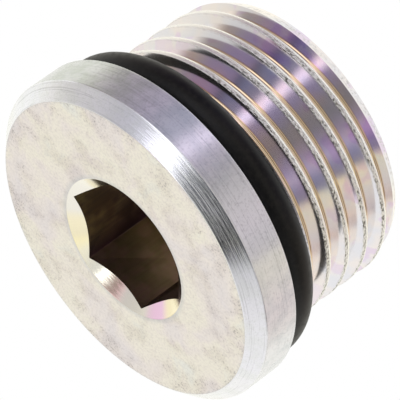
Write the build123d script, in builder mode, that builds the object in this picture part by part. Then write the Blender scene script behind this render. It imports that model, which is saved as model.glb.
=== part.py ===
"""Hex socket screw plug with a 3/4-16 straight thread, and its sealing ring.

The plug stands on its thread end with the head up. The origin is the centre of the
flat thread end and +Z is the plug's axis, out of the head. All sizes are in millimetres.
"""

import os
from math import ceil, radians, tan

from build123d import *

# Head
head_diameter = 22.2
head_thickness = 3.4
head_chamfer = 0.94  # 45 degree turned bevel round the face
sealing_side_break = 0.12

# Hexagon socket
socket_across_flats = 7.95
socket_depth = 6.2  # from the face to where the flats end
countersink_diameter = 9.82
countersink_angle = 112.0  # included
pilot_diameter = 7.4  # the hole that the hexagon was broached into
pilot_extra_depth = 0.7
drill_point_angle = 118.0  # included

# Shank and thread
shank_length = 10.8  # from the sealing side of the head to the thread end
thread_diameter = 18.95
thread_pitch = 25.4 / 16
thread_crest = 0.36  # width of the land left on each ridge
thread_root = 0.2  # width of the groove's floor
thread_flank_angle = 30.0  # between a flank and a plane square to the axis
thread_start_height = -1.62  # middle of the groove where it begins, on the +X side
end_chamfer_length = 1.15  # along the axis
end_chamfer_angle = 28.0  # between the chamfer and the axis

# Undercut behind the head, which holds the sealing ring
neck_diameter = 17.06
neck_width = 2.35  # from the head to the foot of the thread's first wall
undercut_wall_angle = 15.0  # between that wall and a plane square to the axis
undercut_chamfer_depth = 0.33  # how far the wall's edge is turned down from the crests
undercut_chamfer_angle = 33.0  # between that chamfer and the axis

# Sealing ring
ring_section = 2.21
ring_grip_flat = 0.1  # how much the stretched ring flattens where it grips the neck
ring_neck_clearance = 0.02
ring_head_gap = 0.28

# Places worked out from the sizes
total_length = shank_length + head_thickness
head_radius = head_diameter / 2
crest_radius = thread_diameter / 2
neck_radius = neck_diameter / 2
wall_foot_height = shank_length - neck_width
wall_top_radius = crest_radius - undercut_chamfer_depth
wall_rise = (wall_top_radius - neck_radius) * tan(radians(undercut_wall_angle))
wall_top_height = wall_foot_height - wall_rise
chamfer_length = undercut_chamfer_depth / tan(radians(undercut_chamfer_angle))
thread_end_radius = crest_radius - end_chamfer_length * tan(radians(end_chamfer_angle))

# The groove's section: a 60 degree V with a flat floor, which reaches a little past the crest
groove_overrun = 0.2
flank_slope = tan(radians(thread_flank_angle))
groove_mouth = thread_pitch - thread_crest
thread_depth = (groove_mouth - thread_root) / 2 / flank_slope
root_radius = crest_radius - thread_depth
cutter_radius = crest_radius + groove_overrun
cutter_mouth = groove_mouth + 2 * groove_overrun * flank_slope

# The groove is cut in equal stretches of about half a turn, which overlap a little. It
# ends in the middle of the undercut, clear of all metal.
groove_rise = (shank_length + wall_top_height) / 2 - thread_start_height
stretch_count = ceil(groove_rise / (thread_pitch / 2))
stretch_rise = groove_rise / stretch_count
stretch_overlap = thread_pitch / 50


def half_section():
    """The turned blank on one side of the axis: shank, undercut and bevelled head."""
    Polyline(
        (0, 0),
        (thread_end_radius, 0),
        (crest_radius, end_chamfer_length),
        (crest_radius, wall_top_height - chamfer_length),
        (wall_top_radius, wall_top_height),
        (neck_radius, wall_foot_height),
        (neck_radius, shank_length),
        (head_radius - sealing_side_break, shank_length),
        (head_radius, shank_length + sealing_side_break),
        (head_radius, total_length - head_chamfer),
        (head_radius - head_chamfer, total_length),
        (0, total_length),
        close=True,
    )


def groove_section():
    """The thread groove's section, with its middle line along local X."""
    Polyline(
        (root_radius, thread_root / 2),
        (cutter_radius, cutter_mouth / 2),
        (cutter_radius, -cutter_mouth / 2),
        (root_radius, -thread_root / 2),
        close=True,
    )


with BuildPart() as groove_stretch:
    with BuildLine():
        Helix(pitch=thread_pitch, height=stretch_rise + stretch_overlap, radius=crest_radius)
    with BuildSketch(Plane.XZ):
        with BuildLine():
            groove_section()
        make_face()
    sweep(is_frenet=True)

# Each stretch is the first one, screwed further up the axis
stretch_turn = 360 * stretch_rise / thread_pitch
stretch_places = [
    Location((0, 0, thread_start_height + index * stretch_rise), (0, 0, index * stretch_turn))
    for index in range(stretch_count)
]


with BuildPart() as plug_body:
    with BuildSketch(Plane.XZ):
        with BuildLine():
            half_section()
        make_face()
    revolve(axis=Axis.Z)

    # Right-hand thread, from below the shank's end up into the undercut
    for place in stretch_places:
        with Locations(place):
            add(groove_stretch.part, mode=Mode.SUBTRACT)

    # Socket: a countersunk pilot hole with its drill point, then the hexagon
    pilot_radius = pilot_diameter / 2
    pilot_depth = socket_depth + pilot_extra_depth
    with Locations((0, 0, total_length)):
        CounterSinkHole(
            radius=pilot_radius,
            counter_sink_radius=countersink_diameter / 2,
            depth=pilot_depth,
            counter_sink_angle=countersink_angle,
        )
    with Locations((0, 0, total_length - pilot_depth)):
        Cone(
            bottom_radius=0,
            top_radius=pilot_radius,
            height=pilot_radius / tan(radians(drill_point_angle / 2)),
            align=(Align.CENTER, Align.CENTER, Align.MAX),
            mode=Mode.SUBTRACT,
        )
    with BuildSketch(Plane.XY.offset(total_length)):
        RegularPolygon(radius=socket_across_flats / 2, side_count=6, major_radius=False)
    extrude(amount=-socket_depth, mode=Mode.SUBTRACT)


with BuildPart() as sealing_ring:
    ring_radius = ring_section / 2
    ring_inner_radius = neck_radius + ring_neck_clearance
    ring_centre_radius = ring_inner_radius + ring_radius - ring_grip_flat
    ring_height = shank_length - ring_head_gap - ring_radius
    with BuildSketch(Plane.XZ):
        with Locations((ring_centre_radius, ring_height)):
            Circle(ring_radius)
        with Locations((ring_inner_radius, ring_height)):
            Rectangle(
                ring_radius, ring_section, align=(Align.MAX, Align.CENTER), mode=Mode.SUBTRACT
            )
    revolve(axis=Axis.Z)


os.makedirs("parts", exist_ok=True)
for name, piece in {"plug_body": plug_body, "sealing_ring": sealing_ring}.items():
    piece.part.label = name
    export_step(piece.part, f"parts/{name}.step")
    print(name, "volume", round(piece.part.volume, 1), "valid", piece.part.is_valid)
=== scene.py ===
from math import cos, pi, radians, sin, tan

import bmesh
import bpy
from mathutils import Matrix, Vector


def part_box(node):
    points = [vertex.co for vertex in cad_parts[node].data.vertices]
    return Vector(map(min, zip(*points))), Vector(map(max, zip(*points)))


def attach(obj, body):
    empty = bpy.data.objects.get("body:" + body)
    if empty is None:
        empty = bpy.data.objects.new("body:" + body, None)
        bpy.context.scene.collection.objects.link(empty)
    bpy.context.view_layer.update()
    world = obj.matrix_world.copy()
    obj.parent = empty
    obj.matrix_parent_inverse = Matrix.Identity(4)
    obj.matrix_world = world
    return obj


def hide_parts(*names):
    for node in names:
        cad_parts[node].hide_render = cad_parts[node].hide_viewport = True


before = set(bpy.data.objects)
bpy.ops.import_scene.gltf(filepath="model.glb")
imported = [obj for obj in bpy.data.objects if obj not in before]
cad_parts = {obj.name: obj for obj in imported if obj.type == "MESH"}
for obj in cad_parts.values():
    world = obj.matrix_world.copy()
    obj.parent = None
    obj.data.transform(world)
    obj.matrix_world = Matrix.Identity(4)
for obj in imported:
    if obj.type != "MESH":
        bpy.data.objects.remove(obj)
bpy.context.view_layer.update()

mm = 0.001
scene = bpy.context.scene

# Where the camera stands, in mm and degrees, with the azimuth counted from -y
viewpoint = {
    "aim": (-0.146, 0.446, 7.752),
    "azimuth": -20.0,
    "elevation": 29.5,
    "roll": 125.84,  # lays the plug on its side in the frame
    "distance": 297.45,
    "lens": 444.45,
    "sensor": 36.0,
    "clip": (0.01, 5.0),  # m
}


def placeCamera():
    azimuth, elevation = radians(viewpoint["azimuth"]), radians(viewpoint["elevation"])
    roll = radians(viewpoint["roll"])
    away = Vector((sin(azimuth) * cos(elevation), -cos(azimuth) * cos(elevation), sin(elevation)))
    level = Vector((0, 0, 1)).cross(away).normalized()
    upright = away.cross(level)
    up = upright * cos(roll) + level * sin(roll)
    right = up.cross(away)
    data = bpy.data.cameras.new("studioCamera")
    data.lens, data.sensor_width = viewpoint["lens"], viewpoint["sensor"]
    data.clip_start, data.clip_end = viewpoint["clip"]
    camera = bpy.data.objects.new("studioCamera", data)
    place = Matrix((right, up, away)).transposed().to_4x4()
    place.translation = (Vector(viewpoint["aim"]) + away * viewpoint["distance"]) * mm
    camera.matrix_world = place
    scene.collection.objects.link(camera)
    scene.camera = camera


placeCamera()
print("camera placed")

# In mm: points this close are one point, and points this close to the axis are on it
weldGap, axisGap = 1e-4, 1e-6
roundSegments = 6  # for each turned corner and the thread's root


def keepFlat(shape, border=0.05, widest=0.4):
    # a narrow border at both ends of every wide edge, so that its face shades flat
    for edge in [edge for edge in shape.edges if edge.calc_length() > widest]:
        share = border / edge.calc_length()
        edge, corner = bmesh.utils.edge_split(edge, edge.verts[0], share)
        rest = max(corner.link_edges, key=lambda side: side.calc_length())
        bmesh.utils.edge_split(rest, rest.other_vert(corner), share)


def roundCorners(shape, corners, size, segments=roundSegments):
    bmesh.ops.bevel(shape, geom=corners, offset=size, offset_type="OFFSET", affect="VERTICES",
                    segments=segments, profile=0.5, material=-1)


def turnedSolid(outline, steps):
    # spins a half section about the axis; each corner is its radius, height and rounding
    shape = bmesh.new()
    corners = [shape.verts.new((radius, 0, height)) for radius, height, rounding in outline]
    shape.faces.new(corners)
    for corner, (radius, height, rounding) in zip(corners, outline):
        if rounding:
            roundCorners(shape, [corner], rounding)
    bmesh.ops.delete(shape, geom=shape.faces[:], context="FACES_ONLY")
    onAxis = [edge for edge in shape.edges if all(abs(v.co.x) < axisGap for v in edge.verts)]
    bmesh.ops.delete(shape, geom=onAxis, context="EDGES")
    keepFlat(shape)
    bmesh.ops.spin(shape, geom=shape.verts[:] + shape.edges[:], cent=(0, 0, 0), axis=(0, 0, 1),
                   angle=2 * pi, steps=steps, use_merge=True, use_duplicate=False)
    bmesh.ops.remove_doubles(shape, verts=shape.verts[:], dist=weldGap)
    bmesh.ops.recalc_face_normals(shape, faces=shape.faces[:])
    return shape


def newObject(name, shape):
    mesh = bpy.data.meshes.new(name)
    shape.to_mesh(mesh)
    shape.free()
    piece = bpy.data.objects.new(name, mesh)
    scene.collection.objects.link(piece)
    return piece


def cutAway(piece, cutter):
    # takes the cutter out of the piece for good
    cut = piece.modifiers.new("cut", "BOOLEAN")
    cut.operation, cut.solver, cut.object = "DIFFERENCE", "EXACT", cutter
    depsgraph = bpy.context.evaluated_depsgraph_get()
    done = bpy.data.meshes.new_from_object(piece.evaluated_get(depsgraph))
    piece.modifiers.clear()
    old, piece.data = piece.data, done
    bpy.data.meshes.remove(old)
    bpy.data.objects.remove(cutter)


def toMetres(piece, sharpAngle):
    # welds a finished piece, scales it, and smooths all edges that turn less than sharpAngle
    shape = bmesh.new()
    shape.from_mesh(piece.data)
    bmesh.ops.remove_doubles(shape, verts=shape.verts[:], dist=2 * weldGap)
    bmesh.ops.dissolve_degenerate(shape, dist=weldGap, edges=shape.edges[:])
    bmesh.ops.recalc_face_normals(shape, faces=shape.faces[:])
    bmesh.ops.scale(shape, vec=(mm, mm, mm), verts=shape.verts[:])
    for face in shape.faces:
        face.smooth = True
    shape.to_mesh(piece.data)
    shape.free()
    piece.data.set_sharp_from_angle(angle=radians(sharpAngle))


# All pieces are in mm and degrees, and z runs from the thread's end up to the head's face
plugLow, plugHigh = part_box("plug_body")
plug = {
    "headRadius": (plugHigh.x - plugLow.x) / 2 / mm,
    "height": plugHigh.z / mm,
    "headThickness": 3.4,
    "headChamfer": 0.94,
    "neckRadius": 8.53,
    "neckWidth": 2.35,
    "wallAngle": 15.0,
    "wallChamferDepth": 0.33,
    "wallChamferAngle": 33.0,
    "neckRound": 0.12,
    "underHeadRound": 0.15,
    "sealingEdgeRound": 0.12,
    "rimEdgeRound": 0.065,
    "faceEdgeRound": 0.05,
    "sharpAngle": 16,  # edges that turn more than this look sharp
    "steps": 256,
}
thread = {
    "radius": 9.475,
    "pitch": 25.4 / 16,
    "crest": 0.36,
    "root": 0.2,
    "rootRound": 0.098,  # just under half the root, so that its floor is all but round
    "flankAngle": 30.0,
    "startHeight": -1.62,
    "endChamferLength": 1.15,
    "endChamferAngle": 28.0,
    "lip": 0.02,  # depth of the easing along each crest's upper edge
    "lipWidth": 0.035,
    "lowerLip": 0.05,  # and of the wider one along its lower edge
    "lowerLipWidth": 0.155,
    "overrun": 0.06,  # how far the cutter stands out of the crests
}
socket = {
    "acrossFlats": 7.95,
    "depth": 6.2,
    "countersinkRadius": 4.91,
    "countersinkAngle": 112.0,
    "countersinkRound": 0.04,
    "pilotRadius": 3.7,
    "pilotExtraDepth": 0.7,
    "drillAngle": 118.0,
    "cornerRound": 0.06,
    "cornerSegments": 3,
    "overrun": 1.0,
}


def plugBlank():
    head, top = plug["headRadius"], plug["height"]
    headUnder = top - plug["headThickness"]
    crest, neck = thread["radius"], plug["neckRadius"]
    endRadius = crest - thread["endChamferLength"] * tan(radians(thread["endChamferAngle"]))
    wallFoot = headUnder - plug["neckWidth"]
    wallRadius = crest - plug["wallChamferDepth"]
    wallTop = wallFoot - (wallRadius - neck) * tan(radians(plug["wallAngle"]))
    wallChamfer = plug["wallChamferDepth"] / tan(radians(plug["wallChamferAngle"]))
    sink, pilot = socket["countersinkRadius"], socket["pilotRadius"]
    sinkEnd = top - (sink - pilot) / tan(radians(socket["countersinkAngle"] / 2))
    pilotEnd = top - socket["depth"] - socket["pilotExtraDepth"]
    drillTip = pilotEnd - pilot / tan(radians(socket["drillAngle"] / 2))
    chamfer = plug["headChamfer"]
    outline = [
        (0, 0, 0),
        (endRadius, 0, 0),
        (crest, thread["endChamferLength"], 0),
        (crest, wallTop - wallChamfer, 0),
        (wallRadius, wallTop, 0),
        (neck, wallFoot, plug["neckRound"]),
        (neck, headUnder, plug["underHeadRound"]),
        (head, headUnder, plug["sealingEdgeRound"]),
        (head, top - chamfer, plug["rimEdgeRound"]),
        (head - chamfer, top, plug["faceEdgeRound"]),
        (sink, top, socket["countersinkRound"]),
        (pilot, sinkEnd, 0),
        (pilot, pilotEnd, 0),
        (0, drillTip, 0),
    ]
    return newObject("plugMetal", turnedSolid(outline, plug["steps"]))


def threadCutter():
    # the groove between two ridges: a V with a round floor, flared a little at the crests,
    # and more along the lower edge of the crest above it
    slope = tan(radians(thread["flankAngle"]))
    mouth = (thread["pitch"] - thread["crest"]) / 2
    floor = thread["radius"] - (mouth - thread["root"] / 2) / slope
    overrun = thread["overrun"]

    def flare(side, depth, width):
        start = mouth - depth * slope
        end = start + width * (depth + overrun) / depth
        return [(thread["radius"] - depth, side * start), (thread["radius"] + overrun, side * end)]

    above = flare(1, thread["lowerLip"], thread["lowerLipWidth"])
    below = flare(-1, thread["lip"], thread["lipWidth"])
    outline = [(floor, thread["root"] / 2), *above, *reversed(below), (floor, -thread["root"] / 2)]
    shape = bmesh.new()
    corners = [shape.verts.new((radius, 0, height)) for radius, height in outline]
    shape.faces.new(corners)
    roundCorners(shape, [corners[0], corners[-1]], thread["rootRound"])
    keepFlat(shape)
    # it starts half a step round, so that its edges stay clear of the blank's
    halfStep = pi / plug["steps"]
    start = thread["startHeight"] + thread["pitch"] * halfStep / 2 / pi
    bmesh.ops.rotate(shape, cent=(0, 0, 0), matrix=Matrix.Rotation(halfStep, 3, "Z"),
                     verts=shape.verts[:])
    bmesh.ops.translate(shape, verts=shape.verts[:], vec=(0, 0, start))
    # and runs out in the middle of the neck
    headUnder = plug["height"] - plug["headThickness"]
    endHeight = headUnder - plug["neckWidth"] / 2
    turns = (endHeight - thread["startHeight"]) / thread["pitch"]
    steps = round(turns * plug["steps"])
    bmesh.ops.spin(shape, geom=shape.faces[:], cent=(0, 0, 0), axis=(0, 0, 1),
                   angle=2 * pi * steps / plug["steps"], steps=steps,
                   dvec=(0, 0, thread["pitch"] / plug["steps"]), use_merge=False,
                   use_duplicate=False)
    bmesh.ops.recalc_face_normals(shape, faces=shape.faces[:])
    return newObject("threadCutter", shape)


def hexagonCutter():
    shape = bmesh.new()
    cornerRadius = socket["acrossFlats"] / 2 / cos(pi / 6)
    bmesh.ops.create_circle(shape, cap_ends=True, segments=6, radius=cornerRadius)
    # turned so that one corner lies on +x
    bmesh.ops.rotate(shape, cent=(0, 0, 0), matrix=Matrix.Rotation(pi / 6, 3, "Z"),
                     verts=shape.verts[:])
    roundCorners(shape, shape.verts[:], socket["cornerRound"], socket["cornerSegments"])
    bmesh.ops.translate(shape, verts=shape.verts[:], vec=(0, 0, plug["height"] - socket["depth"]))
    raised = bmesh.ops.extrude_face_region(shape, geom=shape.faces[:])
    moved = [v for v in raised["geom"] if isinstance(v, bmesh.types.BMVert)]
    bmesh.ops.translate(shape, verts=moved, vec=(0, 0, socket["depth"] + socket["overrun"]))
    bmesh.ops.recalc_face_normals(shape, faces=shape.faces[:])
    return newObject("hexagonCutter", shape)


plugMetal = plugBlank()
cutAway(plugMetal, threadCutter())
print("thread cut")
cutAway(plugMetal, hexagonCutter())
toMetres(plugMetal, plug["sharpAngle"])
print("plug body made", len(plugMetal.data.polygons), "faces")

ringLow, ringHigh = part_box("sealing_ring")
ring = {
    "section": (ringHigh.z - ringLow.z) / mm,
    "outerRadius": (ringHigh.x - ringLow.x) / 2 / mm,
    "height": (ringHigh.z + ringLow.z) / 2 / mm,
    "gripFlat": 0.1,  # how much it flattens where it grips the neck
    "sharpAngle": 60,
    "sectionPoints": 40,
    "steps": 192,
}


def ringPiece():
    shape = bmesh.new()
    size = ring["section"] / 2
    bmesh.ops.create_circle(shape, cap_ends=False, segments=ring["sectionPoints"], radius=size)
    bmesh.ops.rotate(shape, cent=(0, 0, 0), matrix=Matrix.Rotation(pi / 2, 3, "X"),
                     verts=shape.verts[:])
    bmesh.ops.translate(shape, verts=shape.verts[:],
                        vec=(ring["outerRadius"] - size, 0, ring["height"]))
    innerRadius = ring["outerRadius"] - ring["section"] + ring["gripFlat"]
    for vertex in shape.verts:
        vertex.co.x = max(vertex.co.x, innerRadius)
    bmesh.ops.spin(shape, geom=shape.verts[:] + shape.edges[:], cent=(0, 0, 0), axis=(0, 0, 1),
                   angle=2 * pi, steps=ring["steps"], use_merge=True, use_duplicate=False)
    return newObject("rubberRing", shape)


rubberRing = ringPiece()
toMetres(rubberRing, ring["sharpAngle"])
print("ring made")


def addNode(tree, kind, **settings):
    node = tree.nodes.new("ShaderNode" + kind)
    for setting, value in settings.items():
        setattr(node, setting, value)
    return node


def feed(tree, node, **sources):
    # each source is an output socket or a plain value; names use _ for a space, i0 for a number
    for name, source in sources.items():
        key = int(name[1:]) if name[0] == "i" and name[1:].isdigit() else name.replace("_", " ")
        if isinstance(source, bpy.types.NodeSocket):
            tree.links.new(source, node.inputs[key])
        else:
            node.inputs[key].default_value = source
    return node


def calculate(tree, operation, first, second=0.0, third=0.0):
    node = addNode(tree, "Math", operation=operation)
    feed(tree, node, i0=first, i1=second, i2=third)
    return node.outputs[0]


def remap(tree, value, low, high, toLow=0.0, toHigh=1.0, smooth=True):
    node = addNode(tree, "MapRange", interpolation_type="SMOOTHSTEP" if smooth else "LINEAR")
    feed(tree, node, Value=value, From_Min=low, From_Max=high, To_Min=toLow, To_Max=toHigh)
    return node.outputs["Result"]


def blendNumbers(tree, amount, first, second):
    node = addNode(tree, "Mix", data_type="FLOAT")
    feed(tree, node, i0=amount, i2=first, i3=second)
    return node.outputs[0]


def blendColours(tree, amount, *colours):
    # a colour is an output socket or plain (red, green, blue)
    first, second = [colour if isinstance(colour, bpy.types.NodeSocket) else (*colour, 1)
                     for colour in colours]
    node = addNode(tree, "Mix", data_type="RGBA")
    feed(tree, node, i0=amount, i6=first, i7=second)
    return node.outputs[2]


def colourRamp(tree, value, stops):
    # stops is {place: colour}
    node = addNode(tree, "ValToRGB")
    ramp = node.color_ramp
    places = sorted(stops)
    ramp.elements[0].position, ramp.elements[1].position = places[0], places[-1]
    for place in places[1:-1]:
        ramp.elements.new(place)
    for element, place in zip(ramp.elements, places):
        element.color = (*stops[place], 1)
    feed(tree, node, Fac=value)
    return node.outputs["Color"]


def scaleVector(tree, vector, scale):
    node = addNode(tree, "VectorMath", operation="SCALE")
    return feed(tree, node, i0=vector, Scale=scale).outputs[0]


def noiseOfSize(tree, position, size, **settings):
    # noise with patches of a size in mm
    noise = addNode(tree, "TexNoise")
    feed(tree, noise, Vector=scaleVector(tree, position, 1 / mm),
         Scale=calculate(tree, "DIVIDE", 1.0, size), **settings)
    return noise.outputs[0]


def newGroup(name, inputs, outputs):
    tree = bpy.data.node_groups.new(name, "ShaderNodeTree")
    for label, kind in inputs.items():
        tree.interface.new_socket(label, in_out="INPUT", socket_type="NodeSocket" + kind)
    for label, kind in outputs.items():
        tree.interface.new_socket(label, in_out="OUTPUT", socket_type="NodeSocket" + kind)
    return tree, tree.nodes.new("NodeGroupInput"), tree.nodes.new("NodeGroupOutput")


def useGroup(tree, group, **sources):
    return feed(tree, addNode(tree, "Group", node_tree=group), **sources)


def placeOnTurning():
    # where a point is on a turned piece: radius and height in mm, and its direction
    tree, inside, out = newGroup("placeOnTurning", {"Position": "Vector"},
                                 {"Radius": "Float", "Height": "Float", "Around": "Vector"})
    inMm = scaleVector(tree, inside.outputs[0], 1 / mm)
    parts = feed(tree, addNode(tree, "SeparateXYZ"), i0=inMm)
    flat = feed(tree, addNode(tree, "CombineXYZ"), X=parts.outputs[0], Y=parts.outputs[1])
    length = feed(tree, addNode(tree, "VectorMath", operation="LENGTH"), i0=flat.outputs[0])
    around = feed(tree, addNode(tree, "VectorMath", operation="NORMALIZE"), i0=flat.outputs[0])
    feed(tree, out, i0=length.outputs["Value"], i1=parts.outputs[2], i2=around.outputs[0])
    return tree


def turningMarks():
    # fine tool marks that run round the axis, fading in and out along their length
    tree, inside, out = newGroup("turningMarks",
                                 {"Radius": "Float", "Height": "Float", "Around": "Vector",
                                  "Lines": "Float", "Length": "Float"}, {"Marks": "Float"})
    radius, height, around, lines, length = inside.outputs[:5]
    flat = feed(tree, addNode(tree, "SeparateXYZ"), i0=scaleVector(tree, around, length))
    place = feed(tree, addNode(tree, "CombineXYZ"), X=flat.outputs[0], Y=flat.outputs[1],
                 Z=calculate(tree, "MULTIPLY", radius, lines))
    noise = addNode(tree, "TexNoise", noise_dimensions="4D")
    feed(tree, noise, Vector=place.outputs[0], W=calculate(tree, "MULTIPLY", height, lines),
         Scale=1.0, Detail=3.0, Roughness=0.65)
    feed(tree, out, i0=noise.outputs[0])
    return tree


def platingBloom():
    # the soft patches of colour that a thin zinc plating shows
    tones = {
        0.28: (0.80, 0.75, 0.74), 0.42: (0.85, 0.79, 0.74), 0.50: (0.87, 0.82, 0.73),
        0.60: (0.87, 0.83, 0.72), 0.74: (0.82, 0.82, 0.76),
    }
    tree, inside, out = newGroup("platingBloom", {"Position": "Vector", "Patch": "Float"},
                                 {"Colour": "Color"})
    noise = noiseOfSize(tree, *inside.outputs[:2], Detail=3.0, Roughness=0.55, Distortion=0.4)
    feed(tree, out, i0=colourRamp(tree, noise, tones))
    return tree


def platingSpecks():
    # a mask of pits and specks, or of soft clouds where their size is large
    tree, inside, out = newGroup("platingSpecks", {"Position": "Vector", "Size": "Float",
                                                   "Low": "Float", "High": "Float"},
                                 {"Mask": "Float"})
    position, size, low, high = inside.outputs[:4]
    noise = noiseOfSize(tree, position, size, Detail=2.0, Roughness=0.6)
    feed(tree, out, i0=remap(tree, noise, low, high))
    return tree


def placeOnThread():
    # where a point is across the groove, in pitches from its middle, the head's side above 0
    tree, inside, out = newGroup("placeOnThread", {"Position": "Vector"}, {"Across": "Float"})
    parts = feed(tree, addNode(tree, "SeparateXYZ"), i0=inside.outputs[0])
    turn = calculate(tree, "ARCTAN2", parts.outputs[1], parts.outputs[0])
    rise = calculate(tree, "MULTIPLY_ADD", turn, -thread["pitch"] * mm / 2 / pi, parts.outputs[2])
    pitches = calculate(tree, "MULTIPLY_ADD", rise, 1 / mm / thread["pitch"],
                        -thread["startHeight"] / thread["pitch"])
    feed(tree, out, i0=calculate(tree, "WRAP", pitches, 0.5, -0.5))
    return tree


turningPlace, toolMarks, threadPlace = placeOnTurning(), turningMarks(), placeOnThread()
bloom, specks = platingBloom(), platingSpecks()

# Degrees round from +x to the side that the finishes and the room's light count from
frontSide = -109.98


def newMaterial(name, **settings):
    material = bpy.data.materials.new(name)
    material.use_nodes = True
    tree = material.node_tree
    shader = tree.nodes["Principled BSDF"]
    feed(tree, shader, **settings)
    position = addNode(tree, "TexCoord").outputs["Object"]
    return material, tree, shader, position


def turnedPlace(tree, position):
    # radius, height and direction
    return useGroup(tree, turningPlace, Position=position).outputs[:3]


def marksOn(tree, place, settings):
    radius, height, around = place
    return useGroup(tree, toolMarks, Radius=radius, Height=height, Around=around,
                    **settings).outputs[0]


def specksOn(tree, position, settings):
    return useGroup(tree, specks, Position=position, **settings).outputs[0]


def onSide(tree, around, middle, reach, core):
    # 1 on one side of a turned piece, by degrees round from the front, and 0 past its reach
    place = radians(frontSide + middle)
    toward = addNode(tree, "VectorMath", operation="DOT_PRODUCT")
    feed(tree, toward, i0=around, i1=(cos(place), sin(place), 0.0))
    return remap(tree, toward.outputs["Value"], cos(radians(reach)), cos(radians(core)))


def addBump(tree, shader, height, strength, distance, invert=False):
    # distance is in mm
    bump = addNode(tree, "Bump", invert=invert)
    feed(tree, bump, Strength=strength, Distance=distance * mm, Height=height)
    feed(tree, shader, Normal=bump.outputs[0])


# Finishes: sizes and places are in mm, and a pair of tones or amounts goes from the first to
# the second. An Edge or Place pair is where its mask begins and where it is full.
turnedFinish = {
    "marks": {"Lines": 12.0, "Length": 2.6},  # lines per mm; a larger length breaks them up
    "cloud": {"Size": 0.9, "Low": 0.35, "High": 0.65},
    "grit": {"Size": 0.15, "Low": 0.5, "High": 0.68},
    "bevelEdge": (-0.04, 0.02),  # above the bevel's foot
    "rimTones": ((0.82, 0.85, 0.91), (0.93, 0.94, 1.0)),
    "bevelTones": ((0.86, 0.87, 0.88), (0.90, 0.90, 0.94)),
    # painted shade: a greyer, greener patch on one side of the rim, standing in for a dark
    # reflection
    "paintedShadeTone": (0.66, 0.71, 0.67),
    "paintedShadeSide": {"middle": 58.0, "reach": 32.0, "core": 12.0},
    "paintedShadeCloud": -0.4,  # how much the clouds thin the painted shade
    # painted light: a paler, less metallic patch on one side of the rim
    "paintedLightTone": (0.99, 0.99, 1.0),
    "paintedLightSide": {"middle": -17.0, "reach": 19.0, "core": 5.0},
    "markTone": (0.22, 0.22, 0.23),
    "markEdge": (0.48, 0.36),
    "markShade": 0.22,
    "gritShade": (0.2, 0.08),  # rim and bevel
    "rimMetallic": (0.6, 0.2),  # bare and powdery
    # bare, and where light is painted on
    "bevelMetallic": 1.0,
    "roughness": (0.21, 0.13),  # rim and bevel
    "bump": {"strength": 0.5, "distance": 0.03},
}


def turnedSteel():
    # the head's rim and bevel, brushed by the turning, with painted shade on one side of the rim
    # and painted light on another
    finish = turnedFinish
    material, tree, shader, position = newMaterial("turnedSteel", Anisotropic=0.95,
                                                   Anisotropic_Rotation=0.25)
    place = turnedPlace(tree, position)
    height, around = place[1:]
    marks = marksOn(tree, place, finish["marks"])
    cloud = specksOn(tree, position, finish["cloud"])
    grit = specksOn(tree, position, finish["grit"])
    foot = plug["height"] - plug["headChamfer"]
    onBevel = remap(tree, height, *[foot + past for past in finish["bevelEdge"]])
    # painted shade on one side of the rim, thinned by the clouds
    clouded = calculate(tree, "MULTIPLY_ADD", cloud, finish["paintedShadeCloud"], 1.0)
    paintedShade = calculate(tree, "MULTIPLY", onSide(tree, around, **finish["paintedShadeSide"]), clouded)
    # painted light on another side of the rim
    paintedLight = onSide(tree, around, **finish["paintedLightSide"])
    rim = blendColours(tree, cloud, *finish["rimTones"])
    rim = blendColours(tree, paintedShade, rim, finish["paintedShadeTone"])
    rim = blendColours(tree, paintedLight, rim, finish["paintedLightTone"])
    bevel = blendColours(tree, cloud, *finish["bevelTones"])
    colour = blendColours(tree, onBevel, rim, bevel)
    streaks = remap(tree, marks, *finish["markEdge"])
    pits = calculate(tree, "MULTIPLY", grit, blendNumbers(tree, onBevel, *finish["gritShade"]))
    shade = calculate(tree, "MULTIPLY_ADD", streaks, finish["markShade"], pits)
    colour = blendColours(tree, shade, colour, finish["markTone"])
    rimMetallic = blendNumbers(tree, paintedLight, *finish["rimMetallic"])
    tangent = addNode(tree, "Tangent", direction_type="RADIAL", axis="Z")
    feed(tree, shader, Base_Color=colour, Tangent=tangent.outputs[0],
         Metallic=blendNumbers(tree, onBevel, rimMetallic, finish["bevelMetallic"]),
         Roughness=blendNumbers(tree, onBevel, *finish["roughness"]))
    addBump(tree, shader, marks, **finish["bump"])
    return material


faceFinish = {
    "patchSize": 3.2,
    "cloud": {"Size": 1.8, "Low": 0.42, "High": 0.68},
    "fine": {"Size": 0.2, "Low": 0.4, "High": 0.7},
    "grit": {"Size": 0.13, "Low": 0.52, "High": 0.70},
    "shadeTone": (0.55, 0.50, 0.49),
    "cloudShade": 0.12,
    "fineShade": 0.26,
    "gritTone": (0.30, 0.28, 0.27),
    "evenGrit": 0.12,
    "clusteredGrit": (0.2, 0.45),  # all over, and added near the edge
    "clusterPlace": (6.5, 10.1),
    # the grey of the real wear at the face's edge, and of the painted shade round the countersink
    "wearAndShadeTone": (0.56, 0.57, 0.58),
    "edgeWear": 0.35,
    "edgeWearPlace": (-0.12, 0.06),  # outside the face's edge
    "edgeWander": 0.18,
    # painted shade: a grey ring on the face round the countersink's mouth
    "sinkShade": 0.45,
    "sinkShadeWidth": 0.4,
    "roughness": (0.36, 0.5),
    "bump": {"strength": 0.3, "distance": 0.02, "invert": True},
}


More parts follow.
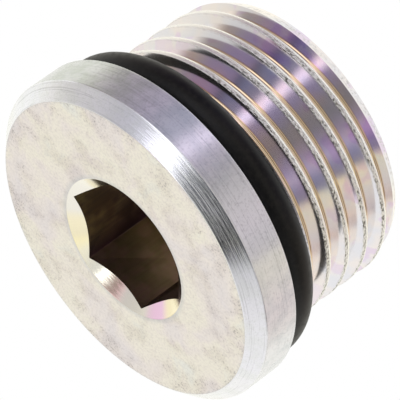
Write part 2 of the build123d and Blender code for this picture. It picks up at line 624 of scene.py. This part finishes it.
def faceSteel():
    # the head's flat face: cream to rose, softly mottled, with small specks in loose clusters,
    # worn grey at its edge, and painted grey shade round the countersink
    finish = faceFinish
    material, tree, shader, position = newMaterial("faceSteel", Metallic=1.0)
    radius, height = turnedPlace(tree, position)[:2]
    patches = useGroup(tree, bloom, Position=position, Patch=finish["patchSize"]).outputs[0]
    cloud = specksOn(tree, position, finish["cloud"])
    fine = specksOn(tree, position, finish["fine"])
    grit = specksOn(tree, position, finish["grit"])
    shade = calculate(tree, "MULTIPLY_ADD", cloud, finish["cloudShade"],
                      calculate(tree, "MULTIPLY", fine, finish["fineShade"]))
    colour = blendColours(tree, shade, patches, finish["shadeTone"])
    outer = remap(tree, radius, *finish["clusterPlace"])
    allOver, nearEdge = finish["clusteredGrit"]
    clusters = calculate(tree, "MULTIPLY", cloud,
                         calculate(tree, "MULTIPLY_ADD", outer, nearEdge, allOver))
    gritty = calculate(tree, "MULTIPLY", grit,
                       calculate(tree, "ADD", clusters, finish["evenGrit"]))
    colour = blendColours(tree, gritty, colour, finish["gritTone"])
    edge = plug["headRadius"] - plug["headChamfer"]
    wander = calculate(tree, "MULTIPLY_ADD", fine, finish["edgeWander"], radius)
    atEdge = remap(tree, wander, *[edge + past for past in finish["edgeWearPlace"]])
    # painted shade round the countersink's mouth
    bySink = remap(tree, radius, socket["countersinkRadius"] + finish["sinkShadeWidth"],
                   socket["countersinkRadius"])
    onHead = remap(tree, height, 0.0, plug["height"])  # keeps it off the thread's end
    bySink = calculate(tree, "MULTIPLY", bySink, onHead)
    # worn holds both the real wear at the edge and the painted shade round the countersink
    worn = calculate(tree, "MAXIMUM", calculate(tree, "MULTIPLY", atEdge, finish["edgeWear"]),
                     calculate(tree, "MULTIPLY", bySink, finish["sinkShade"]))
    colour = blendColours(tree, worn, colour, finish["wearAndShadeTone"])
    feed(tree, shader, Base_Color=colour, Roughness=remap(tree, cloud, 0, 1, *finish["roughness"]))
    addBump(tree, shader, grit, **finish["bump"])
    return material


sinkFinish = {
    "marks": {"Lines": 8.0, "Length": 6.0},
    "tone": (0.93, 0.90, 0.81),
    # tones of film by degrees round from the front, and how far each reaches
    "film": {144.0: (1.0, 0.92, 0.66), -108.0: (0.92, 0.64, 0.86), -86.0: (1.0, 0.90, 0.62)},
    "filmPatch": {"reach": 20.0, "core": 0.5},
    # painted shade: a dark line along the countersink's outer edge
    "edgeShadeTone": (0.4, 0.4, 0.4),
    "edgeShade": 0.4,
    "edgePlace": (-0.07, 0.01),  # outside the countersink's edge
    "roughness": 0.13,
    "bump": {"strength": 0.3, "distance": 0.015},
}


def sinkSteel():
    # the countersink: smooth and shiny, with patches of film, faint lines from the cutter, and a
    # painted dark line of shade along its edge
    finish = sinkFinish
    material, tree, shader, position = newMaterial("sinkSteel", Metallic=1.0,
                                                   Roughness=finish["roughness"])
    place = turnedPlace(tree, position)
    radius, around = place[0], place[2]
    marks = marksOn(tree, place, finish["marks"])
    atEdge = remap(tree, radius, *[socket["countersinkRadius"] + past
                                   for past in finish["edgePlace"]])
    colour = finish["tone"]
    for middle, tone in finish["film"].items():
        patch = onSide(tree, around, middle, **finish["filmPatch"])
        colour = blendColours(tree, patch, colour, tone)
    # painted shade along the countersink's edge
    shade = calculate(tree, "MULTIPLY", atEdge, finish["edgeShade"])
    colour = blendColours(tree, shade, colour, finish["edgeShadeTone"])
    feed(tree, shader, Base_Color=colour)
    addBump(tree, shader, marks, **finish["bump"])
    return material


# Edges on the thread are in pitches across the groove, from its middle
threadFinish = {
    "cloud": {"Size": 2.6, "Low": 0.35, "High": 0.65},
    "patch": {"Size": 2.4, "Low": 0.55, "High": 0.62},
    "grit": {"Size": 0.15, "Low": 0.46, "High": 0.64},
    "tones": ((0.84, 0.84, 0.88), (0.93, 0.87, 0.83)),
    "violet": (0.80, 0.64, 0.86),
    "violetHeight": (8.5, 3.0),  # mm
    "violetAmount": (0.1, 0.6),
    "rootTones": ((0.97, 0.93, 0.86), (0.82, 0.64, 0.43)),  # pale on the head's side, then gold
    "goldEdge": (0.01, -0.01),
    "rootEdge": (0.13, 0.08),
    "crestTone": (0.7, 0.68, 0.66),
    "crestEdge": (0.34, 0.385),
    "roughness": (0.13, 0.05),  # flank and root
    "crestRoughness": 0.4,
}


def threadSteel():
    # the thread's smooth flanks, with violet patches of thin film and a golden root
    finish = threadFinish
    material, tree, shader, position = newMaterial("threadSteel", Metallic=1.0)
    height = turnedPlace(tree, position)[1]
    cloud = specksOn(tree, position, finish["cloud"])
    patch = specksOn(tree, position, finish["patch"])
    grit = specksOn(tree, position, finish["grit"])
    towardEnd = remap(tree, height, *finish["violetHeight"], *finish["violetAmount"])
    violet = calculate(tree, "MULTIPLY", patch, towardEnd)
    across = useGroup(tree, threadPlace, Position=position).outputs[0]
    fromMiddle = calculate(tree, "ABSOLUTE", across)
    inRoot = remap(tree, fromMiddle, *finish["rootEdge"])
    goldSide = remap(tree, across, *finish["goldEdge"])
    byCrest = calculate(tree, "MULTIPLY", remap(tree, fromMiddle, *finish["crestEdge"]), grit)
    colour = blendColours(tree, cloud, *finish["tones"])
    colour = blendColours(tree, violet, colour, finish["violet"])
    root = blendColours(tree, goldSide, *finish["rootTones"])
    colour = blendColours(tree, inRoot, colour, root)
    colour = blendColours(tree, byCrest, colour, finish["crestTone"])
    rough = blendNumbers(tree, inRoot, *finish["roughness"])
    feed(tree, shader, Base_Color=colour,
         Roughness=blendNumbers(tree, byCrest, rough, finish["crestRoughness"]))
    return material


crestFinish = {
    "marks": {"Lines": 10.0, "Length": 42.0},
    "grit": {0.40: (0.16, 0.16, 0.14), 0.47: (0.66, 0.66, 0.60), 0.54: (1.0, 1.0, 0.96)},
    "polished": (1.0, 0.985, 0.94),
    "wornSide": {"middle": -30.0, "reach": 82.0, "core": 45.0},
    "gritEdge": (-0.045, -0.005),  # pitches from the land's middle, and how far it wanders
    "wander": 0.2,
    "roughness": (0.18, 0.4),  # polished and gritty
    "metallic": (0.7, 0.8),
    "bump": {"strength": 1.0, "distance": 0.1},
}


def crestSteel():
    # the worn lands of the thread: gritty along the helix, polished pale at the lower edge
    finish = crestFinish
    material, tree, shader, position = newMaterial("crestSteel")
    place = turnedPlace(tree, position)
    marks = marksOn(tree, place, finish["marks"])
    across = useGroup(tree, threadPlace, Position=position).outputs[0]
    fromCrest = calculate(tree, "WRAP", calculate(tree, "ADD", across, 0.5), 0.5, -0.5)
    wander = calculate(tree, "MULTIPLY_ADD", marks, finish["wander"],
                       calculate(tree, "ADD", fromCrest, -finish["wander"] / 2))
    gritty = remap(tree, wander, *finish["gritEdge"])
    # the lands are worn most on one side
    worn = calculate(tree, "MULTIPLY", gritty, onSide(tree, place[2], **finish["wornSide"]))
    grit = colourRamp(tree, marks, finish["grit"])
    feed(tree, shader, Base_Color=blendColours(tree, worn, finish["polished"], grit),
         Roughness=blendNumbers(tree, gritty, *finish["roughness"]),
         Metallic=blendNumbers(tree, gritty, *finish["metallic"]))
    addBump(tree, shader, calculate(tree, "MULTIPLY", marks, worn), **finish["bump"])
    return material


socketFinish = {
    "grain": (6, 6, 0.3),  # streaks per mm, drawn out along the axis
    "grainEdge": (0.3, 0.7),
    "grainTone": (0.29, 0.28, 0.22),
    "grainShade": 0.3,
    "cloud": {"Size": 2.0, "Low": 0.36, "High": 0.64},
    # painted shade: the plating's brown tone, darkened for the deep socket
    "browns": ((0.20, 0.15, 0.14), (0.32, 0.21, 0.26)),
    # painted light: an olive gold glow on the walls toward one side
    "gold": (0.98, 0.94, 0.50),
    "goldSide": (0.94, -0.342),  # x and y of the way toward it
    "glowPlace": (0.6, 2.4),
    "glowCloud": 0.6,
    "roughness": 0.3,
    "bump": {"strength": 0.15, "distance": 0.02},
}


def socketSteel():
    # inside the hexagon: thin plating, with painted light as an olive gold glow on one side, and
    # its dark tone deepened as painted shade on the rest
    finish = socketFinish
    material, tree, shader, position = newMaterial("socketSteel", Metallic=1.0,
                                                   Roughness=finish["roughness"])
    drawn = addNode(tree, "Mapping")
    feed(tree, drawn, Vector=position, Scale=[streaks / mm for streaks in finish["grain"]])
    noise = feed(tree, addNode(tree, "TexNoise"), Vector=drawn.outputs[0], Scale=1.0, Detail=3.0)
    grain = noise.outputs[0]
    # painted light: the gold glow on the walls toward one side, broken up by the clouds
    sideways = addNode(tree, "VectorMath", operation="DOT_PRODUCT")
    goldX, goldY = finish["goldSide"]
    feed(tree, sideways, i0=position, i1=(goldX / mm, goldY / mm, 0))
    aside = remap(tree, sideways.outputs["Value"], *finish["glowPlace"])
    cloud = specksOn(tree, position, finish["cloud"])
    clouded = calculate(tree, "MULTIPLY_ADD", cloud, finish["glowCloud"], 1 - finish["glowCloud"])
    gold = calculate(tree, "MULTIPLY", aside, clouded)
    # the plating's brown, darkened as painted shade of the deep socket
    brown = blendColours(tree, cloud, *finish["browns"])
    tint = blendColours(tree, gold, brown, finish["gold"])
    shade = remap(tree, grain, *finish["grainEdge"], 0.0, finish["grainShade"])
    feed(tree, shader, Base_Color=blendColours(tree, shade, tint, finish["grainTone"]))
    addBump(tree, shader, grain, **finish["bump"])
    return material


rubberFinish = {
    "grit": {"Size": 0.3, "Low": 0.4, "High": 0.7},
    "tones": ((0.003, 0.003, 0.003), (0.010, 0.009, 0.008)),
    "roughness": (0.4, 0.5),
    "gloss": 0.26,
}


def blackRubber():
    finish = rubberFinish
    material, tree, shader, position = newMaterial("blackRubber",
                                                   Specular_IOR_Level=finish["gloss"])
    grit = specksOn(tree, position, finish["grit"])
    feed(tree, shader, Base_Color=blendColours(tree, grit, *finish["tones"]),
         Roughness=remap(tree, grit, 0, 1, *finish["roughness"]))
    return material


# How far each kind of surface reaches, in mm; a slope is 0 on a wall and 1 on a level face
plugSurfaces = {
    "levelGap": 0.01,  # faces this close to the head's face or to the thread's end are on it
    "threadInside": 0.1,  # inside the neck's radius
    "threadBottom": 0.02,
    "threadBelowHead": 1.5,
    "crestSlope": 0.6,
    "socketOutside": 0.9,  # outside the flats
    "socketBelowFace": 0.1,
    "socketWallSlope": 0.2,
    "allSocketBelow": 1.2,  # under the face, past which every face is the socket's
    "sinkOutside": 0.05,
    "sinkDepth": 1.5,
}


def surfaceOf(face):
    # the kind of surface that a face of the plug belongs to, by where it lies
    limits = plugSurfaces
    centre = face.center / mm
    height, radius = centre.z, Vector((centre.x, centre.y)).length
    slope = abs(face.normal.z)
    top = plug["height"]
    threadTop = top - plug["headThickness"] - limits["threadBelowHead"]
    outOfNeck = radius > plug["neckRadius"] - limits["threadInside"]
    if outOfNeck and limits["threadBottom"] < height < threadTop:
        outside = radius > thread["radius"] - thread["lowerLip"]
        return "crest" if outside and slope < limits["crestSlope"] else "flank"
    if height > top - limits["levelGap"] or height < limits["levelGap"]:
        return "face"
    isWall = slope < limits["socketWallSlope"] or height < top - limits["allSocketBelow"]
    inSocket = radius < socket["acrossFlats"] / 2 + limits["socketOutside"]
    if inSocket and isWall and height < top - limits["socketBelowFace"]:
        return "socket"
    inSink = radius < socket["countersinkRadius"] + limits["sinkOutside"]
    if inSink and height > top - limits["sinkDepth"]:
        return "sink"
    return "turned"


def paintPlug():
    finishes = {"turned": turnedSteel(), "flank": threadSteel(), "crest": crestSteel(),
                "socket": socketSteel(), "face": faceSteel(), "sink": sinkSteel()}
    for finish in finishes.values():
        plugMetal.data.materials.append(finish)
    surfaces = list(finishes)
    for face in plugMetal.data.polygons:
        face.material_index = surfaces.index(surfaceOf(face))


paintPlug()
rubberRing.data.materials.append(blackRubber())
print("finishes made")

# The light room round the plug. Each ring of its light is colours by degrees round from the
# front side, and takes over from the ring below it between two heights in degrees.
studio = {
    "floorSize": 2.0,  # m
    "floorDrop": 0.02,  # mm under the thread's end, so that the two don't flicker
    "takeOver": {"low": (-62, -52), "horizon": (-13, -9), "middle": (7, 11), "high": (36, 44),
                 "top": (61, 68)},
    "floor": {-180: (0.95, 0.95, 0.94), 180: (0.95, 0.95, 0.94)},
    "low": {
        -180: (1.05, 1.05, 0.98), -125: (1.05, 1.03, 0.92), -112: (0.87, 0.77, 0.68),
        -95: (0.84, 0.72, 0.68), -80: (0.88, 0.79, 0.68), -57: (0.90, 0.84, 0.62),
        -53: (0.26, 0.25, 0.34), -44: (0.28, 0.27, 0.39), -34: (0.56, 0.46, 0.61),
        -24: (0.34, 0.28, 0.38), -10: (0.23, 0.21, 0.21), 2: (0.24, 0.215, 0.22),
        14: (0.28, 0.23, 0.32), 21: (0.30, 0.25, 0.38), 26: (1.3, 1.12, 1.4),
        30: (1.3, 1.12, 1.4), 35: (0.22, 0.22, 0.34), 48: (0.19, 0.20, 0.33),
        54: (0.095, 0.10, 0.16), 60: (0.28, 0.22, 0.35), 80: (0.31, 0.235, 0.34),
        95: (0.31, 0.25, 0.29), 103: (0.42, 0.36, 0.36), 110: (0.82, 0.74, 0.68),
        118: (1.1, 1.07, 0.95), 180: (1.05, 1.05, 0.98),
    },
    "horizon": {
        -180: (1.0, 1.0, 0.96), -100: (1.0, 0.98, 0.92), -92: (0.24, 0.19, 0.16),
        -60: (0.24, 0.19, 0.16), -54: (1.0, 0.95, 0.82), 24: (1.0, 0.93, 0.80),
        36: (0.6, 0.56, 0.52), 60: (0.40, 0.35, 0.32), 100: (0.40, 0.35, 0.32),
        112: (1.0, 1.0, 0.96), 180: (1.0, 1.0, 0.96),
    },
    "middle": {
        -180: (1.0, 1.0, 0.98), -110: (0.90, 0.89, 0.88), -82: (0.74, 0.73, 0.73),
        -66: (0.60, 0.60, 0.61), -52: (0.24, 0.24, 0.25), 10: (0.24, 0.24, 0.26),
        36: (1.4, 1.4, 1.5), 54: (1.4, 1.4, 1.5), 62: (0.70, 0.70, 0.76),
        80: (0.50, 0.49, 0.53), 101: (0.62, 0.60, 0.61), 117: (0.66, 0.64, 0.62),
        135: (0.88, 0.86, 0.80), 180: (1.0, 1.0, 0.98),
    },
    "high": {
        -180: (1.0, 1.0, 0.98), -110: (0.90, 0.89, 0.88), -82: (0.74, 0.73, 0.73),
        -66: (0.60, 0.60, 0.61), -58: (0.16, 0.16, 0.17), -50: (0.04, 0.04, 0.045),
        -31: (0.02, 0.02, 0.025), -11: (0.04, 0.04, 0.05), 6: (0.06, 0.065, 0.08),
        24: (0.30, 0.31, 0.35), 36: (1.6, 1.6, 1.7), 54: (1.6, 1.6, 1.7),
        62: (0.70, 0.70, 0.76), 80: (0.50, 0.49, 0.53), 101: (0.62, 0.60, 0.61),
        117: (0.66, 0.64, 0.62), 135: (0.88, 0.86, 0.80), 180: (1.0, 1.0, 0.98),
    },
    "top": {
        -180: (1.0, 0.98, 0.92), -135: (1.05, 1.0, 0.80), -100: (1.0, 0.97, 0.80),
        -40: (0.72, 0.72, 0.70), 20: (0.72, 0.72, 0.70), 36: (1.8, 1.8, 1.75),
        62: (1.8, 1.8, 1.75), 74: (0.40, 0.32, 0.28), 88: (0.20, 0.14, 0.13),
        100: (0.95, 0.66, 0.72), 122: (0.97, 0.80, 0.84), 140: (1.0, 0.95, 0.82),
        180: (1.0, 0.96, 0.88),
    },
}


def studioFloor():
    # a white floor that glows evenly, and lets the room's own light reach the plug
    shape = bmesh.new()
    bmesh.ops.create_grid(shape, x_segments=1, y_segments=1, size=studio["floorSize"])
    bmesh.ops.translate(shape, verts=shape.verts[:], vec=(0, 0, -studio["floorDrop"] * mm))
    floor = newObject("studioFloor", shape)
    material = bpy.data.materials.new("studioWhite")
    material.use_nodes = True
    tree = material.node_tree
    tree.nodes.clear()
    glow, clear = addNode(tree, "Emission"), addNode(tree, "BsdfTransparent")
    seen = addNode(tree, "LightPath").outputs["Is Camera Ray"]
    mix = feed(tree, addNode(tree, "MixShader"), i0=seen, i1=clear.outputs[0], i2=glow.outputs[0])
    feed(tree, addNode(tree, "OutputMaterial"), Surface=mix.outputs[0])
    floor.data.materials.append(material)


def studioWorld():
    # the plug gets the room's light, and the background stays white
    world = bpy.data.worlds.new("studioRoom")
    scene.world = world
    world.use_nodes = True
    tree = world.node_tree
    direction = addNode(tree, "TexCoord").outputs["Generated"]
    turned = addNode(tree, "Mapping")
    feed(tree, turned, Vector=direction, Rotation=(0, 0, -radians(frontSide)))
    parts = feed(tree, addNode(tree, "SeparateXYZ"), i0=turned.outputs[0])
    angle = calculate(tree, "ARCTAN2", parts.outputs[1], parts.outputs[0])
    share = remap(tree, angle, -pi, pi, smooth=False)

    def ringOfLight(name):
        return colourRamp(tree, share, {(place + 180) / 360: colour
                                        for place, colour in studio[name].items()})

    room = ringOfLight("floor")
    for name, (start, end) in studio["takeOver"].items():
        step = remap(tree, parts.outputs[2], sin(radians(start)), sin(radians(end)))
        room = blendColours(tree, step, room, ringOfLight(name))
    seen = addNode(tree, "LightPath").outputs["Is Camera Ray"]
    feed(tree, tree.nodes["Background"], Color=blendColours(tree, seen, room, (1, 1, 1)))


studioFloor()
studioWorld()
scene.view_settings.view_transform = "Standard"
print("studio made")

handOver = {"plug_body": (plugMetal, "plated_steel"), "sealing_ring": (rubberRing, "black_rubber")}
for node, (piece, slot) in handOver.items():
    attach(piece, "root")
    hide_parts(node)
